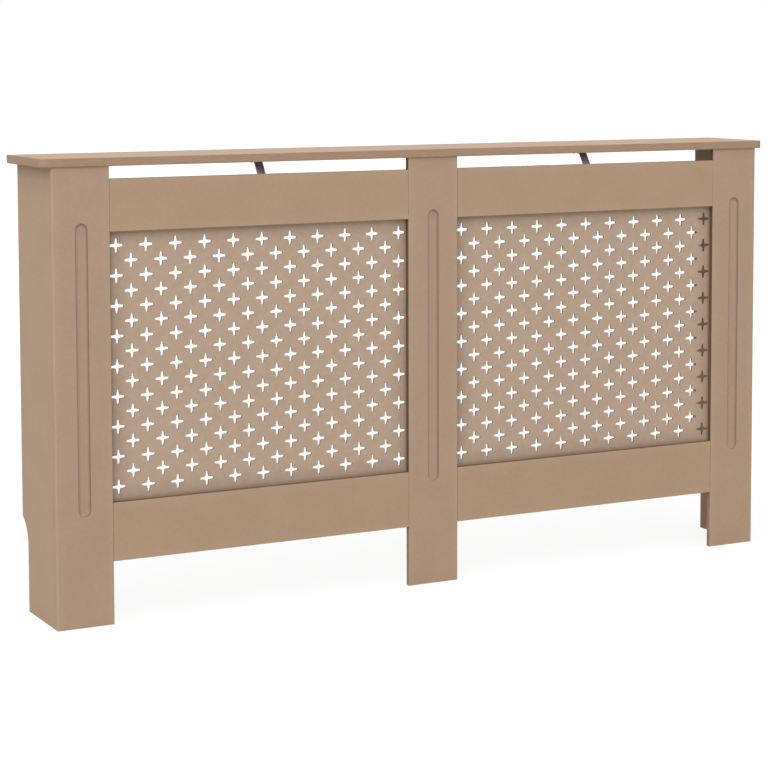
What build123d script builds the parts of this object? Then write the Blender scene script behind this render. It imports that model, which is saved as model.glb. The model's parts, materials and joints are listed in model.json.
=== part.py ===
from build123d import *
import os
from functools import cache
from math import acos, degrees, sin, sqrt

# Radiator cover cabinet of fibreboard, in millimetres. +Z up, front towards -Y,
# origin on the floor under the middle of the top board.

# ---------------------------------------------------------------- top board
LENGTH = 1520.0  # left to right
DEPTH = 190.0  # front to back
HEIGHT = 820.0  # floor to top face
TOP_THICKNESS = 15.0
SIDE_OVERHANG = 19.0  # past the outer face of each side panel
FRONT_OVERHANG = 3.0  # past the front face of the frame
TOP_CORNER_RADIUS = 18.0  # front corners, seen from above
TOP_EDGE_RADIUS = 1.5  # round-over of the upper edges

# -------------------------------------------------------------- side panels
SIDE_THICKNESS = 15.0
SKIRTING_DEPTH = 30.0  # notch at the foot of the back edge
SKIRTING_HEIGHT = 120.0  # straight part of the notch
SKIRTING_RADIUS = 55.0  # hollow curve above the straight part

# -------------------------------------------------------------- front frame
FRAME_THICKNESS = 10.0
POST_WIDTH = 104.0
POST_EDGE_RADIUS = 3.0  # outer upright edges of the cabinet
EDGE_EASE = 0.6  # small chamfer on the other front edges
VENT_GAP = 22.0  # slot between the top rails and the top board
TOP_RAIL_HEIGHT = 92.0
FLOOR_GAP = 112.0  # air gap under the bottom rails
BOTTOM_RAIL_HEIGHT = 104.0

# One flute in each post.
FLUTE_WIDTH = 23.0
FLUTE_DEPTH = 4.0
FLUTE_RADIUS = 8.0  # hollow sides
FLUTE_FOOT = 195.0  # floor to the lower end
FLUTE_HEAD = 97.5  # upper end to the top of the post

# ------------------------------------------------------------ grille sheets
GRILLE_THICKNESS = 3.0
GRILLE_LAP = 10.0  # behind the frame, around each opening
STAR_REACH = 12.75  # centre to the end of a ray
STAR_TIP_RADIUS = 2.0  # round end of a ray
STAR_ROOT = 3.0  # half width of a ray where it would meet the next one
STAR_ROOT_RADIUS = 1.8  # hollow corner between two rays
STAR_PITCH_X = 55.5
STAR_PITCH_Z = 53.2
STAR_MARGIN_X = 15.0  # edge of the opening to the first centre
STAR_MARGIN_Z = 25.0

# ----------------------------------------------------------- steel fittings
BRACKET_LEG = 25.0
BRACKET_WIDTH = 18.0
BRACKET_THICKNESS = 2.0
BRACKET_BEND_RADIUS = 2.5  # outside of the bend
BRACKET_HOLES = (8.0, 18.0)  # from the corner
CORNER_BRACKET_INSET = 75.0  # from the ends of the side panel
TOP_BRACKET_SETBACK = 65.0  # frame to the brackets on the side panels
WALL_BRACKET_DROP = 205.0  # below the top board
WALL_HOLE_RADIUS = 2.5
WALL_HOLE_OFFSET = 15.0  # from the corner
PLATE_LENGTH = 60.0
PLATE_WIDTH = 16.0
PLATE_THICKNESS = 1.5
PLATE_CORNER_RADIUS = 3.0
PLATE_HOLES = (8.0, 22.0)  # from the joint, on each side of it
BRACE_WIDTH = 16.0
BRACE_THICKNESS = 2.0
BRACE_LEG = 45.0  # on the back of the top rail
BRACE_RUN = 15.0  # how far the slanting part goes back
BRACE_FOOT = 42.0  # under the top board
BRACE_BEND_RADIUS = 3.0
BRACE_LEG_HOLES = (14.0, 34.0)  # below the top of the rail
BRACE_FOOT_HOLES = (12.0, 30.0)  # behind the upper bend
BRACE_GROOVE_WIDTH = 1.6  # two pressed grooves along the strap
BRACE_GROOVE_DEPTH = 0.5
BRACE_GROOVE_OFFSET = 4.0
STEEL_HOLE_RADIUS = 2.1

# ------------------------------------------------- screws, dowels and pins
SCREW_RADIUS = 1.75
SCREW_HEAD_RADIUS = 3.3
SCREW_HEAD_HEIGHT = 2.2
SCREW_HEAD_RIM = 0.6
SCREW_DOME = 0.75  # how far the head has risen halfway out, as a share
SCREW_POINT = 2.5  # length of the tapered point
SCREW_COVER = 3.5  # wood left in front of the point
RECESS_LENGTH = 3.4  # cross recess in the head
RECESS_WIDTH = 0.8
RECESS_DEPTH = 1.2
BORE_CLEARANCE = 0.1  # on the radius of each screw, dowel and pin
BORE_END_GAP = 1.0  # air past the end of each of them
DOWEL_RADIUS = 2.5
DOWEL_BITE = 15.0  # length in an edge
DOWEL_COVER = 4.0  # wood left past a dowel in a face
DOWEL_CHAMFER = 0.5
RAIL_DOWEL_INSET = 24.0  # from the long edges of a rail
POST_DOWEL_INSET = 26.0  # from the sides of a post
SIDE_DOWEL_INSET = 200.0  # from the ends of a side panel
PANEL_DOWEL_INSET = 35.0  # from the frame and from the back edge
PIN_RADIUS = 0.7
PIN_HEAD_RADIUS = 1.6
PIN_HEAD_HEIGHT = 0.6
PIN_BITE = 6.0  # length in the frame
PIN_PLAY = 0.4  # air around a pin in its hole in the sheet
PIN_SPACING = 120.0  # largest distance between two pins

# ------------------------------------------------------------ derived planes
FRONT = FRONT_OVERHANG - DEPTH / 2
FRAME_BACK = FRONT + FRAME_THICKNESS
GRILLE_BACK = FRAME_BACK + GRILLE_THICKNESS
BACK = DEPTH / 2
OUTSIDE = LENGTH / 2 - SIDE_OVERHANG
INSIDE = OUTSIDE - SIDE_THICKNESS
UNDER_TOP = HEIGHT - TOP_THICKNESS
FRAME_MIDDLE = (FRONT + FRAME_BACK) / 2
SIDE_MIDDLE = (INSIDE + OUTSIDE) / 2

SIDES = {"left": -1, "right": 1}
POST_X = {
    "left": POST_WIDTH / 2 - OUTSIDE,
    "centre": 0.0,
    "right": OUTSIDE - POST_WIDTH / 2,
}
BAY_X = {
    "left": (POST_WIDTH - OUTSIDE, -POST_WIDTH / 2),
    "right": (POST_WIDTH / 2, OUTSIDE - POST_WIDTH),
}
RAIL_Z = {
    "bottom": (FLOOR_GAP, FLOOR_GAP + BOTTOM_RAIL_HEIGHT),
    "top": (UNDER_TOP - VENT_GAP - TOP_RAIL_HEIGHT, UNDER_TOP - VENT_GAP),
}
OPENING_Z = (RAIL_Z["bottom"][1], RAIL_Z["top"][0])


# ------------------------------------------------------------------- helpers
def block(x, y, z):
    """Box between two values on each axis."""
    size = [high - low for low, high in (x, y, z)]
    centre = [(high + low) / 2 for low, high in (x, y, z)]
    return Pos(*centre) * Box(*size)


def middle(span):
    return (span[0] + span[1]) / 2


def spread(low, high, pitch):
    """Evenly spaced values from low to high, about one pitch apart."""
    count = max(1, round((high - low) / pitch))
    return [low + (high - low) * i / count for i in range(count + 1)]


def rod(radius, height):
    """Cylinder along Z that ends at the origin and lies below it."""
    return Cylinder(radius, height, align=(Align.CENTER, Align.CENTER, Align.MAX))


def punch(seat, radius, thickness):
    """Tool for a hole through steel whose free face is at the seat."""
    return seat * Pos(0, 0, thickness) * rod(radius, 3 * thickness)


def reach(shape):
    """Lowest and highest corner of a shape, each as three numbers."""
    box = shape.bounding_box(optimal=False)
    return tuple(box.min), tuple(box.max)


def drill(board, bores):
    """Board without the bores that reach into it."""
    board_low, board_high = reach(board)
    near = []
    for bore in bores:
        low, high = reach(bore)
        if all(low[i] <= board_high[i] and board_low[i] <= high[i] for i in range(3)):
            near.append(bore)
    return board - near if near else board


def ease(board, edges):
    """Board with a small chamfer on the given edges."""
    return chamfer(edges, EDGE_EASE) if edges else board


# -------------------------------------------------------------------- boards
def top_board():
    board = block((-LENGTH / 2, LENGTH / 2), (-DEPTH / 2, BACK), (UNDER_TOP, HEIGHT))
    corners = board.edges().filter_by(Axis.Z).group_by(Axis.Y)[0]
    board = fillet(corners, TOP_CORNER_RADIUS)
    board = fillet(board.faces().sort_by(Axis.Z)[-1].edges(), TOP_EDGE_RADIUS)
    return ease(board, board.faces().sort_by(Axis.Z)[0].edges())


def side_panel(side):
    """Upright panel behind a corner post, notched for the skirting board."""
    notch = BACK - SKIRTING_DEPTH
    turn = acos(1 - SKIRTING_DEPTH / SKIRTING_RADIUS)
    notch_top = SKIRTING_HEIGHT + sqrt(
        SKIRTING_RADIUS**2 - (SKIRTING_RADIUS - SKIRTING_DEPTH) ** 2
    )
    curve = CenterArc(
        (notch + SKIRTING_RADIUS, SKIRTING_HEIGHT), SKIRTING_RADIUS, 180, -degrees(turn)
    )
    straight = Polyline(
        (BACK, notch_top),
        (BACK, UNDER_TOP),
        (FRAME_BACK, UNDER_TOP),
        (FRAME_BACK, 0),
        (notch, 0),
        (notch, SKIRTING_HEIGHT),
    )
    start = INSIDE if SIDES[side] > 0 else -OUTSIDE
    outline = Pos(start, 0, 0) * (Plane.YZ * make_face([straight, curve]))
    panel = extrude(outline, amount=SIDE_THICKNESS, dir=(1, 0, 0))
    outer_face = panel.faces().sort_by(Axis.X)[-1 if SIDES[side] > 0 else 0]
    upright = outer_face.edges().filter_by(Axis.Z)
    return ease(panel, upright)


def flute(x):
    """Round-ended groove with hollow sides and a flat floor, as the tool that cuts it."""
    low, high = FLUTE_FOOT, UNDER_TOP - FLUTE_HEAD
    half = FLUTE_WIDTH / 2
    run = high - low - FLUTE_WIDTH  # straight part, between the round ends
    turn = acos(1 - FLUTE_DEPTH / FLUTE_RADIUS)
    floor = half - FLUTE_RADIUS * sin(turn)
    flat = Polyline((half, 0), (0, 0), (0, FLUTE_DEPTH), (floor, FLUTE_DEPTH))
    hollow = CenterArc(
        (floor, FLUTE_DEPTH - FLUTE_RADIUS), FLUTE_RADIUS, 90 - degrees(turn), degrees(turn)
    )
    # Half of the section: local X is the width, local Z the depth, local Y the length.
    section = Plane.XZ * make_face([flat, hollow])
    straight = Pos(0, -run / 2, 0) * extrude(section, amount=run, dir=(0, 1, 0))
    cutter = straight + mirror(straight, about=Plane.YZ)
    end = Pos(0, run / 2, 0) * revolve(section, axis=Axis.Z, revolution_arc=180)
    cutter = cutter + end + Rot(0, 0, 180) * end
    seat = Plane(origin=(x, FRONT, middle((low, high))), x_dir=(1, 0, 0), z_dir=(0, 1, 0))
    return seat.location * cutter


def post(name):
    """Full-height upright of the frame, with its flute."""
    x = POST_X[name]
    sides = (x - POST_WIDTH / 2, x + POST_WIDTH / 2)
    board = block(sides, (FRONT, FRAME_BACK), (0, UNDER_TOP))
    upright = board.faces().sort_by(Axis.Y)[0].edges().filter_by(Axis.Z).sort_by(Axis.X)
    if name == "centre":
        board = ease(board, upright)
    else:
        outer, inner = (upright[0], upright[1]) if x < 0 else (upright[1], upright[0])
        inner_middle = inner.center()
        board = fillet(outer, POST_EDGE_RADIUS)
        board = ease(board, board.edges().sort_by_distance(inner_middle)[:1])
    return board - flute(x)


def rail(level, bay):
    """Cross rail between two posts."""
    board = block(BAY_X[bay], (FRONT, FRAME_BACK), RAIL_Z[level])
    return ease(board, board.faces().sort_by(Axis.Y)[0].edges())


# ------------------------------------------------------------------- grilles
def star():
    """Outline of a four-pointed star: tapered rays with round ends."""
    tip = STAR_REACH - STAR_TIP_RADIUS
    flanks = FilletPolyline(
        (STAR_TIP_RADIUS, tip), (STAR_ROOT, STAR_ROOT), (tip, STAR_TIP_RADIUS),
        radius=STAR_ROOT_RADIUS,
    )
    end = ThreePointArc((tip, STAR_TIP_RADIUS), (STAR_REACH, 0), (tip, -STAR_TIP_RADIUS))
    edges = []
    for quarter in range(4):
        edges += [Rot(0, 0, -90 * quarter) * edge for edge in (*flanks.edges(), end)]
    return Wire(edges)


def star_centres(bay):
    """Centres of a staggered grid: full rows, with shorter rows between them."""
    low, high = BAY_X[bay]
    columns = spread(low + STAR_MARGIN_X, high - STAR_MARGIN_X, STAR_PITCH_X)
    rows = spread(OPENING_Z[0] + STAR_MARGIN_Z, OPENING_Z[1] - STAR_MARGIN_Z, STAR_PITCH_Z)
    between_columns = [middle(pair) for pair in zip(columns, columns[1:])]
    between_rows = [middle(pair) for pair in zip(rows, rows[1:])]
    full = [(x, z) for z in rows for x in columns]
    short = [(x, z) for z in between_rows for x in between_columns]
    return full + short


def grille_edges(bay):
    """Left, right, lower and upper edge of a grille sheet."""
    low, high = BAY_X[bay]
    foot, head = OPENING_Z
    return low - GRILLE_LAP, high + GRILLE_LAP, foot - GRILLE_LAP, head + GRILLE_LAP


def grille(bay):
    """Thin sheet against the back of the frame."""
    left, right, low, high = grille_edges(bay)
    rim = Polyline((left, low), (right, low), (right, high), (left, high), close=True)
    holes = []
    for outline, places in (
        (star(), star_centres(bay)),
        (Wire.make_circle(PIN_RADIUS + PIN_PLAY), pin_places(bay)),
    ):
        holes += [Pos(x, z, 0) * outline for x, z in places]
    sheet = Face(Wire(rim.edges()), holes)
    # Plane.XZ looks along -Y, so the sheet grows from its back towards the front.
    back = Pos(0, GRILLE_BACK, 0) * (Plane.XZ * sheet)
    return extrude(back, amount=GRILLE_THICKNESS, dir=(0, -1, 0))


# ------------------------------------------------------------ steel fittings
def angle_bracket(corner, wall=False):
    """Bent steel angle. Its legs lie along the corner's local X and Z axes."""
    square = BRACKET_LEG, BRACKET_WIDTH, BRACKET_LEG
    outer = Box(*square, align=(Align.MIN, Align.CENTER, Align.MIN))
    inner = Pos(BRACKET_THICKNESS, 0, BRACKET_THICKNESS) * Box(
        *square, align=(Align.MIN, Align.CENTER, Align.MIN)
    )
    bracket = outer - inner
    bend = bracket.edges().filter_by(Axis.Y).sort_by_distance((0, 0, 0))[0]
    bracket = fillet(bend, BRACKET_BEND_RADIUS)
    first, second = bracket_seats(Location(), wall)
    for seat in first + second:
        bracket -= punch(seat, STEEL_HOLE_RADIUS, BRACKET_THICKNESS)
    if wall:
        seat = Pos(WALL_HOLE_OFFSET, 0, BRACKET_THICKNESS)
        bracket -= punch(seat, WALL_HOLE_RADIUS, BRACKET_THICKNESS)
    return corner * bracket


def bracket_seats(corner, wall=False):
    """Screw seats on each leg of a bracket. Their Z axes point out of the wood."""
    along_x = [
        Plane(origin=(d, 0, BRACKET_THICKNESS), z_dir=(0, 0, 1)) for d in BRACKET_HOLES
    ]
    along_z = [
        Plane(origin=(BRACKET_THICKNESS, 0, d), z_dir=(1, 0, 0)) for d in BRACKET_HOLES
    ]
    first = [] if wall else [corner * seat.location for seat in along_x]
    second = [corner * seat.location for seat in along_z]
    return first, second


def corner_bracket_places(side):
    """Between a corner post (local X) and a side panel (local Z is world Y)."""
    inward = (-SIDES[side], 0, 0)
    heights = CORNER_BRACKET_INSET, UNDER_TOP / 2, UNDER_TOP - CORNER_BRACKET_INSET
    return [
        Plane(origin=(SIDES[side] * INSIDE, FRAME_BACK, z), x_dir=inward, z_dir=(0, 1, 0)).location
        for z in heights
    ]


def top_bracket_place(name):
    """Under the top board (local X), on a side panel or the centre post."""
    if name == "centre":
        origin, along = (0, FRAME_BACK, UNDER_TOP), (0, 1, 0)
    else:
        origin = SIDES[name] * INSIDE, FRAME_BACK + TOP_BRACKET_SETBACK, UNDER_TOP
        along = (-SIDES[name], 0, 0)
    return Plane(origin=origin, x_dir=along, z_dir=(0, 0, -1)).location


def wall_bracket_place(side):
    """Local X lies along the wall, local Z along the side panel."""
    origin = SIDES[side] * INSIDE, BACK, UNDER_TOP - WALL_BRACKET_DROP
    return Plane(origin=origin, x_dir=(-SIDES[side], 0, 0), z_dir=(0, -1, 0)).location


def plate_places(bay):
    """Across each joint between a rail and a post, on the back of the frame."""
    return [
        Plane(origin=(x, FRAME_BACK, middle(z)), x_dir=(1, 0, 0), z_dir=(0, 1, 0)).location
        for z in RAIL_Z.values()
        for x in BAY_X[bay]
    ]


def joint_plate(place):
    outline = RectangleRounded(PLATE_LENGTH, PLATE_WIDTH, PLATE_CORNER_RADIUS)
    plate = extrude(outline, amount=PLATE_THICKNESS)
    for seat in plate_seats(Location()):
        plate -= punch(seat, STEEL_HOLE_RADIUS, PLATE_THICKNESS)
    return place * plate


def plate_seats(place):
    return [
        place * Pos(x, 0, PLATE_THICKNESS)
        for distance in PLATE_HOLES
        for x in (-distance, distance)
    ]


def brace_seats(bay):
    """Screw seats on a brace: on the back of the rail, then under the top board."""
    x = middle(BAY_X[bay])
    behind = FRAME_BACK + BRACE_THICKNESS
    rail_top = RAIL_Z["top"][1]
    below = UNDER_TOP - BRACE_THICKNESS
    on_rail = [
        Plane(origin=(x, behind, rail_top - d), z_dir=(0, 1, 0)).location
        for d in BRACE_LEG_HOLES
    ]
    under_top = [
        Plane(origin=(x, FRAME_BACK + BRACE_RUN + d, below), z_dir=(0, 0, -1)).location
        for d in BRACE_FOOT_HOLES
    ]
    return on_rail, under_top


def brace(bay):
    """Bent strap from the back of the top rail to the underside of the top board."""
    half = BRACE_THICKNESS / 2
    rail_top = RAIL_Z["top"][1]
    x = middle(BAY_X[bay])
    route = [
        (x, FRAME_BACK + half, rail_top - BRACE_LEG),
        (x, FRAME_BACK + half, rail_top),
        (x, FRAME_BACK + BRACE_RUN, UNDER_TOP - half),
        (x, FRAME_BACK + BRACE_RUN + BRACE_FOOT, UNDER_TOP - half),
    ]
    path = FilletPolyline(*route, radius=BRACE_BEND_RADIUS)
    section = Rectangle(BRACE_WIDTH, BRACE_THICKNESS)
    for offset in (-BRACE_GROOVE_OFFSET, BRACE_GROOVE_OFFSET):
        section -= Pos(offset, -half) * Rectangle(BRACE_GROOVE_WIDTH, 2 * BRACE_GROOVE_DEPTH)
    start = Plane(origin=route[0], x_dir=(1, 0, 0), z_dir=(0, 0, 1))
    strap = sweep(start * section, path=path)
    on_rail, under_top = brace_seats(bay)
    for seat in on_rail + under_top:
        strap -= punch(seat, STEEL_HOLE_RADIUS, BRACE_THICKNESS)
    return strap


# ---------------------------------------------------- screws, dowels and pins
@cache
def screw(length):
    """Round-headed screw along Z with a cross recess; its head sits on z = 0."""
    outline = Polyline(
        (0, SCREW_HEAD_HEIGHT),
        (0, -length),
        (SCREW_RADIUS, SCREW_POINT - length),
        (SCREW_RADIUS, 0),
        (SCREW_HEAD_RADIUS, 0),
        (SCREW_HEAD_RADIUS, SCREW_HEAD_RIM),
    )
    shoulder = SCREW_HEAD_RIM + SCREW_DOME * (SCREW_HEAD_HEIGHT - SCREW_HEAD_RIM)
    dome = ThreePointArc(
        (SCREW_HEAD_RADIUS, SCREW_HEAD_RIM),
        (SCREW_HEAD_RADIUS / 2, shoulder),
        (0, SCREW_HEAD_HEIGHT),
    )
    body = revolve(Plane.XZ * make_face([outline, dome]), axis=Axis.Z)
    for size in ((RECESS_LENGTH, RECESS_WIDTH), (RECESS_WIDTH, RECESS_LENGTH)):
        body -= Pos(0, 0, SCREW_HEAD_HEIGHT) * Box(*size, 2 * RECESS_DEPTH)
    return body


def screw_bore(seat, length):
    return seat * rod(SCREW_RADIUS + BORE_CLEARANCE, length + BORE_END_GAP)


def screw_length(board_thickness, steel_thickness):
    return board_thickness - SCREW_COVER + steel_thickness


def dowel(joint, below, above):
    """Dowel along the joint's Z axis, from below the joint face to above it."""
    peg = Pos(0, 0, above) * rod(DOWEL_RADIUS, above + below)
    ends = peg.edges().filter_by(GeomType.CIRCLE)
    return joint * chamfer(ends, DOWEL_CHAMFER)


def dowel_bore(joint, below, above):
    length = above + below + 2 * BORE_END_GAP
    return joint * Pos(0, 0, above + BORE_END_GAP) * rod(DOWEL_RADIUS + BORE_CLEARANCE, length)


def rail_dowel_joints():
    """Two dowels at each end of each rail."""
    joints = []
    for bay in BAY_X:
        for low, high in RAIL_Z.values():
            for z in (low + RAIL_DOWEL_INSET, high - RAIL_DOWEL_INSET):
                for x in BAY_X[bay]:
                    joints.append(Plane(origin=(x, FRAME_MIDDLE, z), z_dir=(1, 0, 0)).location)
    return joints


def side_dowel_joints():
    """Two dowels from each side panel into the back of its post."""
    return [
        Plane(origin=(sign * SIDE_MIDDLE, FRAME_BACK, z), z_dir=(0, 1, 0)).location
        for sign in SIDES.values()
        for z in (SIDE_DOWEL_INSET, UNDER_TOP - SIDE_DOWEL_INSET)
    ]


def top_dowel_joints():
    """Two dowels from the top of each post and of each side panel into the top."""
    from_middle = POST_WIDTH / 2 - POST_DOWEL_INSET
    posts = [
        (x + sign * from_middle, FRAME_MIDDLE) for x in POST_X.values() for sign in (-1, 1)
    ]
    panels = [
        (sign * SIDE_MIDDLE, y)
        for sign in SIDES.values()
        for y in (FRAME_BACK + PANEL_DOWEL_INSET, BACK - PANEL_DOWEL_INSET)
    ]
    return [Plane(origin=(x, y, UNDER_TOP)).location for x, y in posts + panels]


def pin_places(bay):
    """X and Z of the pins around a grille sheet, in the middle of its lap."""
    left, right, low, high = grille_edges(bay)
    inset = GRILLE_LAP / 2
    across = spread(left + inset, right - inset, PIN_SPACING)
    up = spread(low + inset, high - inset, PIN_SPACING)
    places = [(x, z) for x in across for z in (up[0], up[-1])]
    return places + [(x, z) for x in (across[0], across[-1]) for z in up[1:-1]]


def pin_seats(bay):
    return [
        Plane(origin=(x, GRILLE_BACK, z), z_dir=(0, 1, 0)).location for x, z in pin_places(bay)
    ]


def pin(seat):
    head = Pos(0, 0, PIN_HEAD_HEIGHT) * rod(PIN_HEAD_RADIUS, PIN_HEAD_HEIGHT)
    return seat * (head + rod(PIN_RADIUS, GRILLE_THICKNESS + PIN_BITE))


def pin_bore(seat):
    length = GRILLE_THICKNESS + PIN_BITE + BORE_END_GAP
    return seat * rod(PIN_RADIUS + BORE_CLEARANCE, length)


# ----------------------------------------------------------------- assembly
def build():
    """Every node by name: a shape, or a list of separate solids."""
    nodes = {}
    bores = []

    def add_screws(name, seats, length):
        """More screws for a group, and the bores that they need."""
        one = screw(length)
        nodes.setdefault(name, []).extend(seat * one for seat in seats)
        bores.extend(screw_bore(seat, length) for seat in seats)

    into_frame = screw_length(FRAME_THICKNESS, BRACKET_THICKNESS)
    into_side = screw_length(SIDE_THICKNESS, BRACKET_THICKNESS)
    into_top = screw_length(TOP_THICKNESS, BRACKET_THICKNESS)

    for side in SIDES:
        places = corner_bracket_places(side)
        nodes[f"corner_brackets_{side}"] = [angle_bracket(place) for place in places]
        for place in places:
            on_post, on_side = bracket_seats(place)
            add_screws("corner_bracket_screws", on_post, into_frame)
            add_screws("corner_bracket_screws", on_side, into_side)
        place = wall_bracket_place(side)
        nodes[f"wall_bracket_{side}"] = angle_bracket(place, wall=True)
        _, on_side = bracket_seats(place, wall=True)
        add_screws("wall_bracket_screws", on_side, into_side)

    for name in POST_X:
        place = top_bracket_place(name)
        nodes[f"top_bracket_{name}"] = angle_bracket(place)
        under_top, on_upright = bracket_seats(place)
        into_upright = into_frame if name == "centre" else into_side
        add_screws("top_bracket_screws", under_top, into_top)
        add_screws("top_bracket_screws", on_upright, into_upright)

    for bay in BAY_X:
        places = plate_places(bay)
        nodes[f"joint_plates_{bay}"] = [joint_plate(place) for place in places]
        length = screw_length(FRAME_THICKNESS, PLATE_THICKNESS)
        for place in places:
            add_screws("joint_plate_screws", plate_seats(place), length)
        nodes[f"top_brace_{bay}"] = brace(bay)
        on_rail, under_top = brace_seats(bay)
        rail_length = screw_length(FRAME_THICKNESS, BRACE_THICKNESS)
        top_length = screw_length(TOP_THICKNESS, BRACE_THICKNESS)
        add_screws("brace_screws", on_rail, rail_length)
        add_screws("brace_screws", under_top, top_length)
        nodes[f"grille_pins_{bay}"] = [pin(seat) for seat in pin_seats(bay)]
        bores.extend(pin_bore(seat) for seat in pin_seats(bay))

    for name, joints, below, above in (
        ("rail_dowels", rail_dowel_joints(), DOWEL_BITE, DOWEL_BITE),
        ("side_dowels", side_dowel_joints(), FRAME_THICKNESS - DOWEL_COVER, DOWEL_BITE),
        ("top_dowels", top_dowel_joints(), DOWEL_BITE, TOP_THICKNESS - DOWEL_COVER),
    ):
        nodes[name] = [dowel(joint, below, above) for joint in joints]
        bores.extend(dowel_bore(joint, below, above) for joint in joints)

    nodes["top_board"] = drill(top_board(), bores)
    for side in SIDES:
        nodes[f"side_panel_{side}"] = drill(side_panel(side), bores)
    for name in POST_X:
        nodes[f"post_{name}"] = drill(post(name), bores)
    for level in RAIL_Z:
        for bay in BAY_X:
            nodes[f"rail_{level}_{bay}"] = drill(rail(level, bay), bores)
    for bay in BAY_X:
        nodes[f"grille_{bay}"] = grille(bay)
    return nodes


def main():
    os.makedirs("parts", exist_ok=True)
    for name, shape in build().items():
        if isinstance(shape, list):
            shape = Compound(children=shape)
        export_step(shape, f"parts/{name}.step")


main()
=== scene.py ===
import json
from math import pi, radians

import bpy
from mathutils import Euler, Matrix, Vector


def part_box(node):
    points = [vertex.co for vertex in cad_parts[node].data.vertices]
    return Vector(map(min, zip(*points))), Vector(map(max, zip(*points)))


# Looks of the radiator cover cabinet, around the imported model. Metres, +Z up,
# front towards -Y, the floor at z = 0.

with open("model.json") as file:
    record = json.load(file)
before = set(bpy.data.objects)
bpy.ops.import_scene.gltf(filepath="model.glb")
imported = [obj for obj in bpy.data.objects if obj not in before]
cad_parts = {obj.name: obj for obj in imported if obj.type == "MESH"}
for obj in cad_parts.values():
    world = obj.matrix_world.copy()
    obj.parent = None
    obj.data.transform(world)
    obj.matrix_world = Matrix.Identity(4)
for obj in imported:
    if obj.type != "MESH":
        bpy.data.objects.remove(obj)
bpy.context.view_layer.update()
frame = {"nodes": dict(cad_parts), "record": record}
nodes = frame["nodes"]

MM = 0.001
AXES = {"X": 0, "Y": 1, "Z": 2}
WHITE = (1, 1, 1, 1)


# -------------------------------------------------------------------- camera
CAMERA_PLACE = (-1.9485, -3.6654, 1.0017)
CAMERA_YAW = 27.786  # from +Y towards +X, in degrees
CAMERA_PITCH = -4.565  # above the horizon
CAMERA_ROLL = -0.12  # about its own axis
PICTURE_SIZE = 768.0  # pixels along each side
FOCAL_PIXELS = 2188.3
CENTRE_PIXEL = (402.0, 225.83)  # where the camera's own axis meets the picture
SENSOR_WIDTH = 36.0
VIEW_END = 200.0


def add_camera():
    data = bpy.data.cameras.new("camera")
    data.sensor_width = SENSOR_WIDTH
    data.lens = FOCAL_PIXELS * SENSOR_WIDTH / PICTURE_SIZE
    data.shift_x = (PICTURE_SIZE / 2 - CENTRE_PIXEL[0]) / PICTURE_SIZE
    data.shift_y = (CENTRE_PIXEL[1] - PICTURE_SIZE / 2) / PICTURE_SIZE
    data.clip_end = VIEW_END
    camera = bpy.data.objects.new("camera", data)
    bpy.context.scene.collection.objects.link(camera)
    camera.location = CAMERA_PLACE
    aim = Euler((radians(90 + CAMERA_PITCH), 0, radians(-CAMERA_YAW)))
    roll = Euler((0, 0, radians(CAMERA_ROLL)))
    camera.rotation_euler = (aim.to_matrix() @ roll.to_matrix()).to_euler()
    bpy.context.scene.camera = camera


# --------------------------------------------------------------------- light
WORLD_FRONT = 0.70  # radiance that lights the object from the front
WORLD_BACK = 0.30  # and from behind
LAMPS = {  # direction towards each, what a white face square to it shows, and if it is reflected
    "key": ((-0.457, -0.412, 0.789), 0.785, True),
    "fill": ((0.64, 0.70, 0.32), 0.35, False),
}
LAMP_AIM = Vector((0, 0, 0.4))
LAMP_DISTANCE = 16.0
LAMP_RADIUS = 11.2
FLOOR_SIZE = 120.0
FLOOR_BOUNCE = 0.60  # grey that throws light back at the object
FLOOR_SHADE = 0.11  # grey that takes the object's shadow where the floor shows
FLOOR_GLOW = 0.89  # added there, so that the floor near the object is white
GLOW_REACH = (1.5, 4.0)  # distances over which the glow rises to full white


def shown_rays(tree):
    """Factor that is 1 for what the eye, a reflection or a glass pane shows."""
    path = tree.nodes.new("ShaderNodeLightPath")
    total = path.outputs["Is Camera Ray"]
    for name in ("Is Glossy Ray", "Is Transmission Ray"):
        largest = tree.nodes.new("ShaderNodeMath")
        largest.operation = "MAXIMUM"
        tree.links.new(total, largest.inputs[0])
        tree.links.new(path.outputs[name], largest.inputs[1])
        total = largest.outputs[0]
    return total


def remap(tree, value, to, span=(0.0, 1.0)):
    """Goes from one end of "to" to the other as the value goes through the span."""
    node = tree.nodes.new("ShaderNodeMapRange")
    tree.links.new(value, node.inputs["Value"])
    for name, limit in zip(("To Min", "To Max", "From Min", "From Max"), (*to, *span)):
        if isinstance(limit, bpy.types.NodeSocket):
            tree.links.new(limit, node.inputs[name])
        else:
            node.inputs[name].default_value = limit
    return node.outputs["Result"]


def add_world():
    """White where it shows, and a plain soft light on everything else."""
    world = bpy.data.worlds.new("studio")
    bpy.context.scene.world = world
    world.use_nodes = True
    tree = world.node_tree
    background = tree.nodes["Background"]
    background.inputs["Color"].default_value = WHITE
    direction = tree.nodes.new("ShaderNodeTexCoord")
    parts = tree.nodes.new("ShaderNodeSeparateXYZ")
    tree.links.new(direction.outputs["Generated"], parts.inputs["Vector"])
    soft_light = remap(tree, parts.outputs["Y"], (WORLD_FRONT, WORLD_BACK), (-1.0, 1.0))
    strength = remap(tree, shown_rays(tree), (soft_light, 1.0))
    tree.links.new(strength, background.inputs["Strength"])


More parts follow.
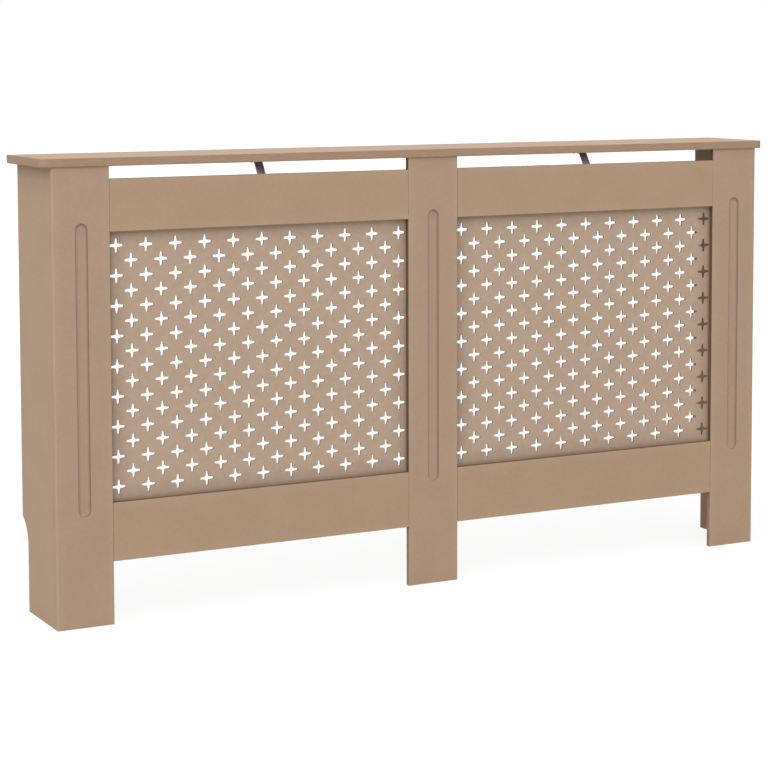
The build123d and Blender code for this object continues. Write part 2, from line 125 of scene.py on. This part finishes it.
def add_lamps():
    """Large round lamps: one high up in front and to the left, one behind to the right."""
    for name, (direction, light, is_reflected) in LAMPS.items():
        towards = Vector(direction).normalized()
        data = bpy.data.lights.new(name, "AREA")
        data.shape = "DISK"
        data.size = 2 * LAMP_RADIUS
        radiance = light * (LAMP_RADIUS**2 + LAMP_DISTANCE**2) / LAMP_RADIUS**2
        data.energy = radiance * pi * pi * LAMP_RADIUS**2
        lamp = bpy.data.objects.new(name, data)
        bpy.context.scene.collection.objects.link(lamp)
        lamp.location = LAMP_AIM + towards * LAMP_DISTANCE
        lamp.rotation_euler = towards.to_track_quat("Z", "Y").to_euler()
        lamp.visible_camera = False
        lamp.visible_glossy = is_reflected


def add_floor():
    """White where it shows, apart from the object's soft shadow."""
    half = FLOOR_SIZE / 2
    mesh = bpy.data.meshes.new("floor")
    corners = [(-half, -half, 0), (half, -half, 0), (half, half, 0), (-half, half, 0)]
    mesh.from_pydata(corners, [], [(0, 1, 2, 3)])
    floor = bpy.data.objects.new("floor", mesh)
    bpy.context.scene.collection.objects.link(floor)
    material = bpy.data.materials.new("floor")
    material.use_nodes = True
    tree = material.node_tree
    surface = tree.nodes["Principled BSDF"]
    surface.inputs["Roughness"].default_value = 1.0
    surface.inputs["Specular IOR Level"].default_value = 0.0
    surface.inputs["Emission Color"].default_value = WHITE
    shown = shown_rays(tree)
    grey = remap(tree, shown, (FLOOR_BOUNCE, FLOOR_SHADE))
    place = tree.nodes.new("ShaderNodeTexCoord")
    distance = tree.nodes.new("ShaderNodeVectorMath")
    distance.operation = "LENGTH"
    tree.links.new(place.outputs["Object"], distance.inputs["Vector"])
    full_glow = remap(tree, distance.outputs["Value"], (FLOOR_GLOW, 1.0), GLOW_REACH)
    glow = remap(tree, shown, (0.0, full_glow))
    tree.links.new(grey, surface.inputs["Base Color"])
    tree.links.new(glow, surface.inputs["Emission Strength"])
    mesh.materials.append(material)


# ----------------------------------------------------------------- materials
NOISE_SPAN = (0.3, 0.7)  # nearly all of a noise lies between these


class Shader:
    """A material under construction. Its coordinates are in metres."""

    def __init__(self, name, roughness, metallic=0.0, specular=0.5):
        self.material = bpy.data.materials.new(name)
        self.material.use_nodes = True
        self.tree = self.material.node_tree
        self.surface = self.tree.nodes["Principled BSDF"]
        self.surface.inputs["Roughness"].default_value = roughness
        self.surface.inputs["Metallic"].default_value = metallic
        self.surface.inputs["Specular IOR Level"].default_value = specular
        self.texture = self.add("ShaderNodeTexCoord")
        self.place = self.texture.outputs["Object"]

    def add(self, kind, inputs=None, **settings):
        """New node. Its inputs are values or other nodes' outputs."""
        node = self.tree.nodes.new(kind)
        for name, value in settings.items():
            setattr(node, name, value)
        for name, value in (inputs or {}).items():
            self.feed(node.inputs[name], value)
        return node

    def feed(self, socket, value):
        if isinstance(value, bpy.types.NodeSocket):
            self.tree.links.new(value, socket)
        else:
            socket.default_value = value

    def math(self, operation, first, second=0.0):
        node = self.add("ShaderNodeMath", {0: first, 1: second}, operation=operation)
        return node.outputs[0]

    def product(self, *factors):
        total = factors[0]
        for factor in factors[1:]:
            total = self.math("MULTIPLY", total, factor)
        return total

    def distance(self, value, centre):
        return self.math("ABSOLUTE", self.math("SUBTRACT", value, centre))

    def fade(self, value, start, end, low=0.0, high=1.0):
        """Goes smoothly from low to high as the value goes from start to end."""
        inputs = {"Value": value, "From Min": start, "From Max": end}
        inputs.update({"To Min": low, "To Max": high})
        node = self.add("ShaderNodeMapRange", inputs, interpolation_type="SMOOTHSTEP")
        return node.outputs["Result"]

    def vary(self, noise, low, high):
        """Goes from low to high with a noise."""
        return self.fade(noise, *NOISE_SPAN, low, high)

    def part(self, vector, axis):
        node = self.add("ShaderNodeSeparateXYZ", {"Vector": vector})
        return node.outputs[axis]

    def noise(self, scale, detail, roughness, vector=None):
        """Blotches, from 0 to 1. The scale is how many there are in a metre."""
        inputs = {"Vector": vector or self.place, "Scale": scale}
        inputs.update({"Detail": detail, "Roughness": roughness})
        return self.add("ShaderNodeTexNoise", inputs).outputs["Fac"]

    def streaks(self, scales, detail, roughness, turn=(0.0, 0.0, 0.0)):
        """Noise with a scale along each axis, turned by degrees first."""
        turned = self.add(
            "ShaderNodeMapping",
            {"Vector": self.place, "Rotation": [radians(angle) for angle in turn]},
        )
        scaled = self.add(
            "ShaderNodeMapping", {"Vector": turned.outputs["Vector"], "Scale": scales}
        )
        return self.noise(1.0, detail, roughness, scaled.outputs["Vector"])

    def mix(self, factor, first, second, blend="MIX"):
        node = self.add("ShaderNodeMix", data_type="RGBA", blend_type=blend)
        self.feed(node.inputs["Factor"], factor)
        self.feed(node.inputs["A"], first)
        self.feed(node.inputs["B"], second)
        return node.outputs["Result"]

    def tone(self, colour, amount):
        """Colour times a grey amount."""
        inputs = dict.fromkeys(("Red", "Green", "Blue"), amount)
        grey = self.add("ShaderNodeCombineColor", inputs)
        return self.mix(1.0, colour, grey.outputs["Color"], "MULTIPLY")

    def upright(self, axis):
        """1 on faces square to an axis, 0 on faces along it."""
        return self.math("ABSOLUTE", self.part(self.texture.outputs["Normal"], axis))

    def bump(self, height, distance, strength):
        inputs = {"Height": height, "Distance": distance, "Strength": strength}
        node = self.add("ShaderNodeBump", inputs)
        self.feed(self.surface.inputs["Normal"], node.outputs["Normal"])

    def paint(self, colour):
        self.feed(self.surface.inputs["Base Color"], colour)

    def rough(self, amount):
        self.feed(self.surface.inputs["Roughness"], amount)


def rgb(red, green, blue):
    return (red, green, blue, 1.0)


# ---------------------------------------------------------------- fibreboard
FACE = rgb(0.396, 0.273, 0.186)  # sanded face of the board
RAIL_FACE = rgb(0.398, 0.273, 0.177)  # and of the rails, a little yellower
INSIDE = rgb(0.396, 0.246, 0.153)  # inner face of a side panel
CUT = rgb(0.336, 0.219, 0.145)  # sawn edge
CORE = rgb(0.402, 0.272, 0.193)  # inside the board, as on the floor of a flute
FOOT = rgb(0.320, 0.207, 0.138)  # edges of the frame boards near the floor
PAINTED_SHADE_EDGE = rgb(0.127, 0.080, 0.050)  # their edges in the grille openings and vents: a sawn edge darkened by painted shade
SHEET = rgb(0.447, 0.326, 0.237)  # thin grille sheet
SCORCHED = rgb(0.085, 0.053, 0.034)  # walls of the stars

# Noises: how many blotches in a metre, their detail and their roughness.
FUZZ = (900, 5, 0.6)
CLOUDS = (14, 3, 0.5)
MOTTLING = (120, 3, 0.6)
SPECKS = (420, 2, 0.5)
SHEET_MOTTLING = (70, 5, 0.7)
SOOT = (500, 3, 0.6)
FIBRES = ((260, 1900, 1900), 2, 0.5)  # with a scale along each axis
FIBRE_TURNS = ((20, 35, 10), (-40, 15, 65), (75, -25, 30))  # degrees
FIBRE_SPAN = (0.36, 0.64)  # nearly all of the felted fibres lies between these
SPECK_SPAN = (0.66, 0.74)  # top of the noise, where a speck starts and where it is full
ALONG_LAYERS, ACROSS_LAYERS = 70.0, 1500.0  # scales of the layers in a cut

# Tones, from the low to the high end of what they follow.
FACE_FIBRES = (0.93, 1.07)
FACE_CLOUDS = (0.98, 1.02)
SPECK_DEPTH = 0.07
CUT_LAYERS = (0.86, 1.12)
CRUST = (1.05, 0.90)  # from the core of a cut to its outer layers
CRUST_START = 0.28  # of the board's thickness from its middle
EDGE_LAYERS = (0.80, 1.20)
SHEET_FIBRES = (0.90, 1.08)
SHEET_CLOUDS = (0.955, 1.045)
SOOT_TONES = (0.80, 1.25)
INSIDE_LIGHT_AND_SHADE = (1.10, 0.70)  # painted light and shade on the inner faces of the side panels, at their foot and at their head

BOARD_ROUGHNESS = 0.75
CUT_TO_FACE = (0.92, 0.72)  # roughness of a cut and of a face
SHEET_ROUGHNESS = 0.7
BOARD_SPECULAR = 0.3
TOP_SPECULAR = 0.5
BOARD_RELIEF = (0.25 * MM, 0.35)  # depth and strength
LAYER_RELIEF = 0.6  # against the fibres
FLAT_SPAN = (0.80, 0.97)  # normal's share along the thickness, from a cut to a face
FRAME_FLAT_SPAN = (0.55, 0.79)  # on the frame, where eased edges look like faces
INWARD_SPAN = (0.5, 0.9)  # normal's share towards the inside

HIGHLIGHT_REACH = 20 * MM  # reach of a painted highlight along the long edges of the frame boards
HIGHLIGHT_TONE = 1.035
SANDED_CORNER = (1.5 * MM, 1.0 * MM)  # from the frame's outside, where its round edges are
FOOT_BLEND = 3 * MM  # from the colour of the feet to the painted shade of the openings
FLUTE_HALF = 12.5 * MM
FLUTE_TOP = (0.05 * MM, 0.4 * MM)  # below the face, where the colour of a flute starts
FLUTE_LIMIT = 6.0 * MM  # past the floor of the flutes
FLUTE_BLEND = 1 * MM
FLUTE_SIDE = 0.5  # normal's share along Y where a flute's side is steepest
FLUTE_SHADE_TONES = (0.48, 0.86)  # painted shade there, on the side that faces -X and on the other
FLUTE_TURN = 0.2  # normal's share along X that tells these sides apart
FLUTE_RISE = 1.5  # power by which the painted shade lifts towards the floor of a flute
# Painted shade on the grille sheet beside the frame: a dark line, a wider haze, and a lighter
# haze under the head.
SHADE_LINE = (8 * MM, 0.80)  # reach of the painted shade from the frame onto the grille sheet, and its tone at the frame
SHADE_HAZE = (45 * MM, 0.86)
HEAD_SHADE = (45 * MM, 0.95)  # painted shade under the top rails


def felt(shader):
    """Fine fibres that lie in all directions, from 0 to 1."""
    total = shader.noise(*FUZZ)
    for turn in FIBRE_TURNS:
        total = shader.math("ADD", total, shader.streaks(*FIBRES, turn))
    return shader.math("DIVIDE", total, 1.0 + len(FIBRE_TURNS))


def sanded(shader, fibres):
    """Tone of a sanded face: fibres, mottling, soft clouds and a few dark specks."""
    mottling = shader.vary(shader.noise(*MOTTLING), *FACE_CLOUDS)
    clouds = shader.vary(shader.noise(*CLOUDS), *FACE_CLOUDS)
    tone = shader.product(shader.fade(fibres, *FIBRE_SPAN, *FACE_FIBRES), mottling, clouds)
    specks = shader.fade(shader.noise(*SPECKS), *SPECK_SPAN, 0.0, SPECK_DEPTH)
    return shader.math("SUBTRACT", tone, specks)


def pressed(shader, axis):
    """Fine layers that a cut shows, from 0 to 1. The board was pressed along the axis."""
    scales = [ALONG_LAYERS] * 3
    scales[AXES[axis]] = ACROSS_LAYERS
    return shader.streaks(scales, 4, 0.6)


def finish_board(shader, flat, colour, fibres, layers):
    shader.paint(colour)
    shader.rough(shader.fade(flat, 0, 1, *CUT_TO_FACE))
    relief = shader.math("ADD", fibres, shader.product(layers, LAYER_RELIEF))
    shader.bump(relief, *BOARD_RELIEF)
    return shader.material


def side_face(shader, node, sand):
    """Colour of a side panel. Its inner face is warmer, with painted light towards its foot and
    painted shade towards its head.
    """
    low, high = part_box(node)
    sideways = shader.part(shader.texture.outputs["Normal"], "X")
    inward = shader.math("MULTIPLY", sideways, -1.0 if low[0] > 0 else 1.0)
    inner = shader.fade(inward, *INWARD_SPAN)
    # painted light low on the inner face, painted shade towards its head
    painted_light_and_shade = shader.fade(shader.part(shader.place, "Z"), low[2], high[2], *INSIDE_LIGHT_AND_SHADE)
    tone = shader.product(sand, shader.fade(inner, 0.0, 1.0, 1.0, painted_light_and_shade))
    return shader.tone(shader.mix(inner, FACE, INSIDE), tone)


def sawn_board(name, axis, node, specular=BOARD_SPECULAR):
    """Raw fibreboard whose thickness lies along an axis, with sawn edges."""
    shader = Shader(name, BOARD_ROUGHNESS, specular=specular)
    fibres, layers = felt(shader), pressed(shader, axis)
    low, high = (corner[AXES[axis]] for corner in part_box(node))
    thickness = high - low
    from_middle = shader.distance(shader.part(shader.place, axis), (low + high) / 2)
    crust = shader.fade(from_middle, thickness * CRUST_START, thickness / 2, *CRUST)
    cut_tone = shader.product(shader.vary(layers, *CUT_LAYERS), crust)
    flat = shader.fade(shader.upright(axis), *FLAT_SPAN)
    sand = sanded(shader, fibres)
    is_side = node.startswith("side_panel")
    face = side_face(shader, node, sand) if is_side else shader.tone(FACE, sand)
    colour = shader.mix(flat, shader.tone(CUT, cut_tone), face)
    return finish_board(shader, flat, colour, fibres, layers)


def fluted(shader, steep):
    """Tone inside a flute: painted shade up its sides, the deeper on the one facing -X."""
    sideways = shader.part(shader.texture.outputs["Normal"], "X")
    darkest = shader.fade(sideways, -FLUTE_TURN, FLUTE_TURN, *FLUTE_SHADE_TONES)
    rise = shader.math("SUBTRACT", steep, FLUTE_SIDE)
    rise = shader.math("MAXIMUM", shader.math("DIVIDE", rise, 1 - FLUTE_SIDE), 0.0)
    rise = shader.math("POWER", rise, FLUTE_RISE)
    lighter = shader.product(rise, shader.math("SUBTRACT", 1.0, darkest))
    return shader.math("ADD", darkest, lighter)


def frame_board(name):
    """Board of the front frame: edges with painted shade, a painted highlight along its long
    edges, sanded outer corners and a flute in a post.
    """
    shader = Shader(name, BOARD_ROUGHNESS, specular=BOARD_SPECULAR)
    fibres, layers = felt(shader), pressed(shader, "Y")
    across, depth, up = (shader.part(shader.place, axis) for axis in AXES)
    steep = shader.upright("Y")
    sand = sanded(shader, fibres)
    low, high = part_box(name)
    is_post = name.startswith("post")
    place, axis = (across, AXES["X"]) if is_post else (up, AXES["Z"])
    from_middle = shader.distance(place, (low[axis] + high[axis]) / 2)
    half = (high[axis] - low[axis]) / 2
    # painted highlight: lighter towards the long edges of the board
    rub_marks_and_highlight = shader.fade(from_middle, half - HIGHLIGHT_REACH, half, 1.0, HIGHLIGHT_TONE)
    face = shader.tone(FACE if is_post else RAIL_FACE, shader.product(sand, rub_marks_and_highlight))

    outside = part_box("post_right")[1][0]
    from_centre = shader.math("ABSOLUTE", across)
    corner = shader.fade(from_centre, *(outside - inset for inset in SANDED_CORNER))
    flat = shader.math("MAXIMUM", shader.fade(steep, *FRAME_FLAT_SPAN), corner)
    floor_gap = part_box("rail_bottom_left")[0][2]
    # sawn edges, with painted shade above the feet, in the openings and vents
    edge = shader.mix(shader.fade(up, floor_gap, floor_gap + FOOT_BLEND), FOOT, PAINTED_SHADE_EDGE)
    edge = shader.tone(edge, shader.vary(layers, *EDGE_LAYERS))
    colour = shader.mix(flat, edge, face)

    if is_post:
        limit = low[1] + FLUTE_LIMIT
        inside = shader.product(
            shader.fade(from_middle, FLUTE_HALF, FLUTE_HALF + FLUTE_BLEND, 1, 0),
            shader.fade(depth, *(low[1] + start for start in FLUTE_TOP)),
            shader.fade(depth, limit, limit + FLUTE_BLEND, 1, 0),
        )
        # the flute's sides carry painted shade
        routed = shader.tone(CORE, shader.product(sand, fluted(shader, steep)))
        colour = shader.mix(inside, colour, routed)
        flat = shader.math("MAXIMUM", flat, inside)
    return finish_board(shader, flat, colour, fibres, layers)


def beside_frame(shader):
    """Tone of a grille sheet, with painted shade where it meets the frame around its opening."""
    across, _, up = (shader.part(shader.place, axis) for axis in AXES)
    inner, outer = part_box("post_centre")[1][0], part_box("post_right")[0][0]
    foot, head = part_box("rail_bottom_right")[1][2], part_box("rail_top_right")[0][2]
    from_posts = shader.distance(shader.math("ABSOLUTE", across), (inner + outer) / 2)
    from_posts = shader.math("SUBTRACT", (outer - inner) / 2, from_posts)
    from_foot = shader.math("SUBTRACT", up, foot)
    from_head = shader.math("SUBTRACT", head, up)
    nearest = shader.math("MINIMUM", from_posts, from_foot)
    painted_shades = ((nearest, SHADE_LINE), (nearest, SHADE_HAZE), (from_head, HEAD_SHADE))
    tones = [shader.fade(gap, 0.0, reach, tone, 1.0) for gap, (reach, tone) in painted_shades]
    return shader.product(*tones)


def grille_sheet():
    """Thin pressed board, with scorched walls where the stars are cut."""
    shader = Shader("grille_sheet", SHEET_ROUGHNESS, specular=BOARD_SPECULAR)
    fibres = felt(shader)
    mottling = shader.vary(shader.noise(*SHEET_MOTTLING), *SHEET_CLOUDS)
    tone = shader.product(shader.fade(fibres, *FIBRE_SPAN, *SHEET_FIBRES), mottling)
    # the sheet's tone carries painted shade beside the frame
    face = shader.tone(SHEET, shader.product(tone, beside_frame(shader)))
    walls = shader.tone(SCORCHED, shader.vary(shader.noise(*SOOT), *SOOT_TONES))
    flat = shader.fade(shader.upright("Y"), *FLAT_SPAN)
    shader.paint(shader.mix(flat, walls, face))
    shader.bump(fibres, *BOARD_RELIEF)
    return shader.material


# ------------------------------------------------------------ steel and pegs
# Streaks: their scale along each axis, detail and roughness, and their turn in degrees.
OXIDE_DARK, OXIDE_LIGHT = rgb(0.18, 0.15, 0.17), rgb(0.34, 0.29, 0.32)
OXIDE_SPAN = (0.7, 1.3)  # sum of the two noises, from dark to light
OXIDE_ROUGHNESS = (0.36, 0.52)
STRAP_STREAKS = ((900, 40, 40), 3, 0.6)
STRAP_CLOUDS = (120, 3, 0.6)
STRAP_RELIEF = (0.05 * MM, 0.4)
BRACKET_ZINC = rgb(0.60, 0.60, 0.61)
SCREW_ZINC = rgb(0.58, 0.55, 0.47)
CRYSTAL_SCALE = 420.0  # crystals in a metre
CRYSTAL_TONES = (0.88, 1.08)
RUBBED_METAL = (0.94, 1.04)
RUB_MARKS = ((1800, 200, 300), 3, 0.6, (30, 20, 50))
ZINC_ROUGHNESS, SCREW_ROUGHNESS = (0.30, 0.44), (0.26, 0.40)
ZINC_RELIEF = (0.03 * MM, 0.3)
WOOD_DARK, WOOD_LIGHT = rgb(0.50, 0.33, 0.18), rgb(0.66, 0.47, 0.29)
WOOD_FLECK = rgb(0.33, 0.19, 0.10)
GRAIN = ((500, 500, 45), 4, 0.6)
FLECKS = ((900, 900, 160), 2, 0.5)
FLECK_SPAN = (0.62, 0.70)
FLECK_STRENGTH = 0.5
WOOD_RELIEF = (0.1 * MM, 0.3)


def dark_strap():
    """Rolled steel with a thin dark oxide, in long faint streaks."""
    shader = Shader("strap_steel", roughness=0.42, metallic=0.7)
    streaks, clouds = shader.streaks(*STRAP_STREAKS), shader.noise(*STRAP_CLOUDS)
    oxide = shader.fade(shader.math("ADD", streaks, clouds), *OXIDE_SPAN)
    shader.paint(shader.mix(oxide, OXIDE_DARK, OXIDE_LIGHT))
    shader.rough(shader.vary(clouds, *OXIDE_ROUGHNESS))
    shader.bump(streaks, *STRAP_RELIEF)
    return shader.material


def zinc(name, colour, dull):
    """Zinc-plated steel, with soft crystals and fine rubbed marks."""
    shader = Shader(name, roughness=0.35, metallic=1.0)
    inputs = {"Vector": shader.place, "Scale": CRYSTAL_SCALE}
    crystals = shader.add("ShaderNodeTexVoronoi", inputs)
    rub_marks_and_highlight = shader.streaks(*RUB_MARKS)
    tone = shader.fade(shader.part(crystals.outputs["Color"], "X"), 0, 1, *CRYSTAL_TONES)
    tone = shader.product(tone, shader.vary(rub_marks_and_highlight, *RUBBED_METAL))
    shader.paint(shader.tone(colour, tone))
    shader.rough(shader.vary(rub_marks_and_highlight, *dull))
    shader.bump(rub_marks_and_highlight, *ZINC_RELIEF)
    return shader.material


def beech():
    """Straight-grained pegs with small dark flecks."""
    shader = Shader("dowel_wood", roughness=0.6)
    grain = shader.streaks(*GRAIN)
    flecks = shader.fade(shader.streaks(*FLECKS), *FLECK_SPAN)
    wood = shader.mix(shader.vary(grain, 0, 1), WOOD_DARK, WOOD_LIGHT)
    shader.paint(shader.mix(shader.product(flecks, FLECK_STRENGTH), wood, WOOD_FLECK))
    shader.bump(grain, *WOOD_RELIEF)
    return shader.material


def dress():
    """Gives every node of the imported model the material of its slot."""
    materials = {
        "board_top": sawn_board("board_top", "Z", "top_board", TOP_SPECULAR),
        "grille_sheet": grille_sheet(),
        "strap_steel": dark_strap(),
        "zinc_steel": zinc("zinc_steel", BRACKET_ZINC, ZINC_ROUGHNESS),
        "screw_steel": zinc("screw_steel", SCREW_ZINC, SCREW_ROUGHNESS),
        "dowel_wood": beech(),
    }
    for part in frame["record"]["subparts"]:
        name, slot = part["node"], part["material_slot"]
        if slot == "board_side":
            material = sawn_board(name, "X", name)
        elif slot == "board_frame":
            material = frame_board(name)
        else:
            material = materials[slot]
        for material_slot in nodes[name].material_slots:
            material_slot.material = material


# ---------------------------------------------------------------------- main
add_camera()
add_world()
add_lamps()
add_floor()
dress()
bpy.context.scene.view_settings.view_transform = "Standard"
